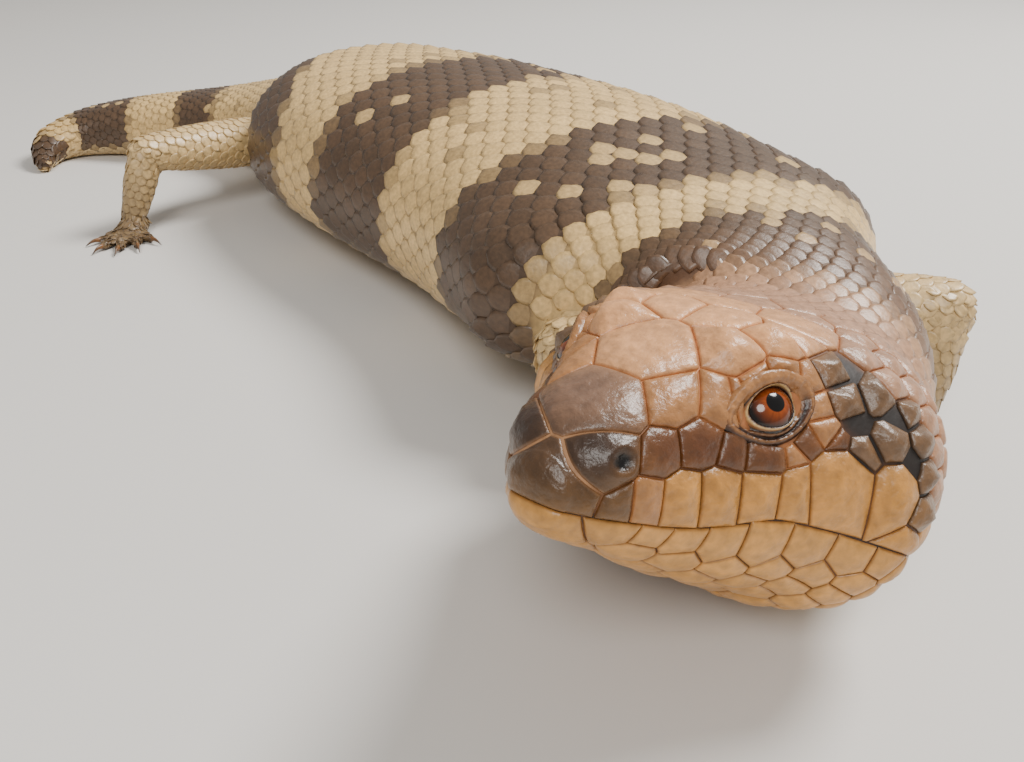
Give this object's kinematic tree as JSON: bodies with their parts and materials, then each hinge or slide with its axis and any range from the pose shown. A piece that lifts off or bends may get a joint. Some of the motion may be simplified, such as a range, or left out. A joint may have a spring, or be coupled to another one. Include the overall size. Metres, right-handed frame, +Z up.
{
  "type": "western blue-tongued lizard",
  "caption": "Life-size still model of a banded blue tongued skink resting on its belly, head turned to its right, with shielded head, short legs with clawed toes and a curled tail.",
  "frame": {"origin": "a point on the flat underside of the belly, below the middle of the trunk, where the animal rests on the floor", "axes": "+Z up, +X along the middle of the trunk towards the shoulders, +Y towards the animal's left"},
  "size_m": [0.2791, 0.1422, 0.0423],
  "materials": {
    "head_shields": "smooth horny head shields with a soft gloss, pinkish tan on the crown and dark brown on the snout",
    "lip_scales": "smooth tan-yellow lip and chin scales",
    "body_scales": "smooth overlapping scales in dark brown and cream cross-bands, slightly glossy",
    "eye": "wet glossy eye, orange-brown iris with a round black pupil",
    "claw": "dark horny claw"
  },
  "bodies": {
    "root": {"head": "head_shields", "lower_jaw": "lip_scales", "eye_left": "eye", "eye_right": "eye", "neck": "body_scales", "trunk_front": "body_scales", "trunk_middle": "body_scales", "trunk_rear": "body_scales", "tail_base": "body_scales", "tail_middle": "body_scales", "tail_tip": "body_scales", "upper_arm_front_left": "body_scales", "forearm_front_left": "body_scales", "foot_front_left": "body_scales", "upper_arm_front_right": "body_scales", "forearm_front_right": "body_scales", "foot_front_right": "body_scales", "thigh_hind_left": "body_scales", "shin_hind_left": "body_scales", "foot_hind_left": "body_scales", "thigh_hind_right": "body_scales", "shin_hind_right": "body_scales", "foot_hind_right": "body_scales", "claw_front_left_1": "claw", "claw_front_left_2": "claw", "claw_front_left_3": "claw", "claw_front_left_4": "claw", "claw_front_left_5": "claw", "claw_front_right_1": "claw", "claw_front_right_2": "claw", "claw_front_right_3": "claw", "claw_front_right_4": "claw", "claw_front_right_5": "claw", "claw_hind_left_1": "claw", "claw_hind_left_2": "claw", "claw_hind_left_3": "claw", "claw_hind_left_4": "claw", "claw_hind_left_5": "claw", "claw_hind_right_1": "claw", "claw_hind_right_2": "claw", "claw_hind_right_3": "claw", "claw_hind_right_4": "claw", "claw_hind_right_5": "claw"}
  },
  "joints": []
}
